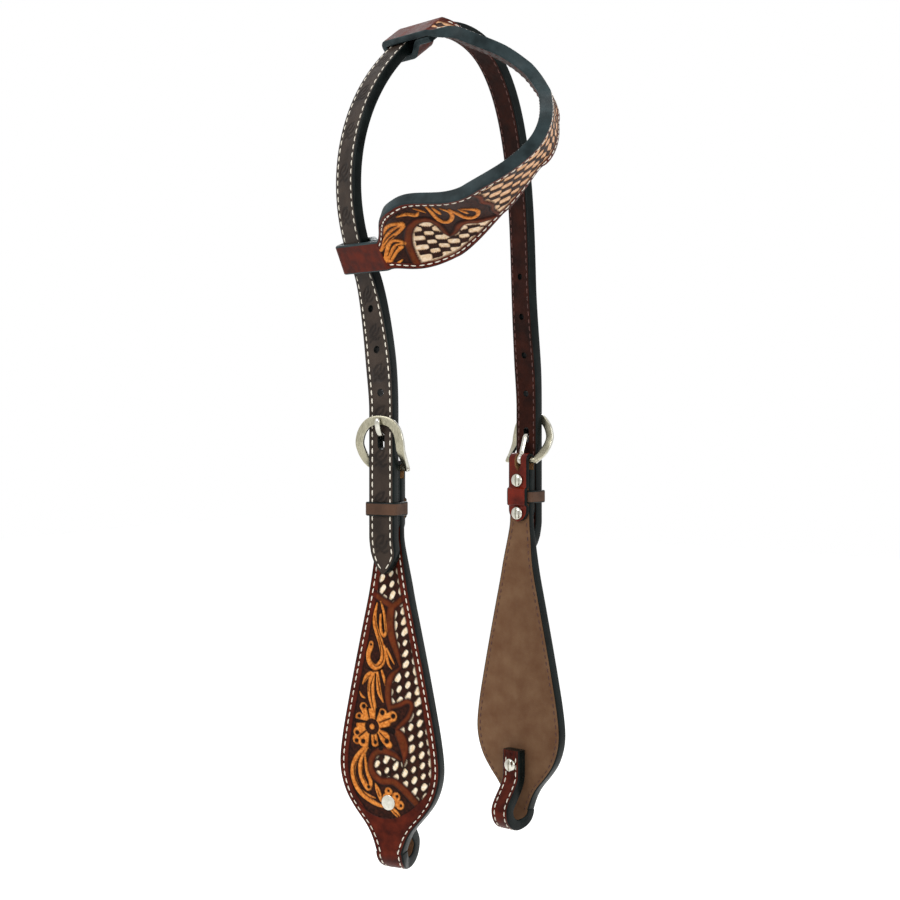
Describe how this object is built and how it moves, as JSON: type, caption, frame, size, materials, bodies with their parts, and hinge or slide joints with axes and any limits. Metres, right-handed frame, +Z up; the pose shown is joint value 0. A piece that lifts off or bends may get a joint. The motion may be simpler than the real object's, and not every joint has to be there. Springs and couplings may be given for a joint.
{
  "type": "western headstall",
  "caption": "One-ear western headstall: arched crown strap with a sliding ear piece, buckled to spatula-shaped tooled leather cheeks that end in folded bit loops.",
  "frame": {"origin": "underside of the crown strap at its highest point, where it rests on the horse's poll", "axes": "+X towards the horse's front, +Y towards the horse's left side, +Z up"},
  "size_m": [0.1574, 0.1922, 0.5131],
  "materials": {
    "crown_leather": "dark oiled grain, black painted edges",
    "crown_lining_leather": "smooth dark lining",
    "tooled_leather": "tooled and painted, semi-gloss",
    "cheek_lining_leather": "matt brown lining",
    "russet_leather": "glossy oxblood",
    "keeper_leather": "satin brown",
    "nickel": "nickel plate, brushed front and polished edges"
  },
  "bodies": {
    "straps": {"crown_face": "crown_leather", "crown_lining": "crown_lining_leather", "right_cheek_face": "tooled_leather", "right_cheek_lining": "cheek_lining_leather", "left_cheek_face": "tooled_leather", "left_cheek_lining": "cheek_lining_leather", "right_chape": "russet_leather", "left_chape": "russet_leather", "right_upper_chape_post": "nickel", "right_upper_chape_screw": "nickel", "right_lower_chape_post": "nickel", "right_lower_chape_screw": "nickel", "right_bit_post": "nickel", "right_bit_screw": "nickel", "left_upper_chape_post": "nickel", "left_upper_chape_screw": "nickel", "left_lower_chape_post": "nickel", "left_lower_chape_screw": "nickel", "left_bit_post": "nickel", "left_bit_screw": "nickel"},
    "ear_piece": {"ear_face": "tooled_leather", "ear_lining": "crown_lining_leather"},
    "right_buckle": {"right_buckle_frame": "nickel"},
    "left_buckle": {"left_buckle_frame": "nickel"},
    "right_tongue": {"right_buckle_tongue": "nickel"},
    "left_tongue": {"left_buckle_tongue": "nickel"},
    "right_keeper_loop": {"right_keeper": "keeper_leather"},
    "left_keeper_loop": {"left_keeper": "keeper_leather"}
  },
  "joints": [
    {"name": "ear_slide", "type": "hinge", "parent": "straps", "child": "ear_piece", "pos_m": [0.00916, 0.03419, -0.0987], "axis": [0.9659, -0.2588, 0], "range_deg": [-2, 2]},
    {"name": "right_buckle_swing", "type": "hinge", "parent": "straps", "child": "right_buckle", "pos_m": [0.00467, -0.06417, -0.2677], "axis": [0.9885, 0.1513, 0], "range_deg": [0, 2]},
    {"name": "right_tongue_lift", "type": "hinge", "parent": "right_buckle", "child": "right_tongue", "pos_m": [0.00467, -0.06417, -0.2677], "axis": [0.9885, 0.1513, 0], "range_deg": [0, 1.5]},
    {"name": "left_buckle_swing", "type": "hinge", "parent": "straps", "child": "left_buckle", "pos_m": [0.00889, 0.06755, -0.2677], "axis": [-0.9986, 0.0523, 0], "range_deg": [0, 2]},
    {"name": "left_tongue_lift", "type": "hinge", "parent": "left_buckle", "child": "left_tongue", "pos_m": [0.00889, 0.06755, -0.2677], "axis": [-0.9986, 0.0523, 0], "range_deg": [0, 1.5]},
    {"name": "right_keeper_slide", "type": "slide", "parent": "straps", "child": "right_keeper_loop", "axis": [0, 0, -1], "range_m": [-0.0007, 0.0007]},
    {"name": "left_keeper_slide", "type": "slide", "parent": "straps", "child": "left_keeper_loop", "axis": [0, 0, -1], "range_m": [-0.0007, 0.0007]}
  ]
}
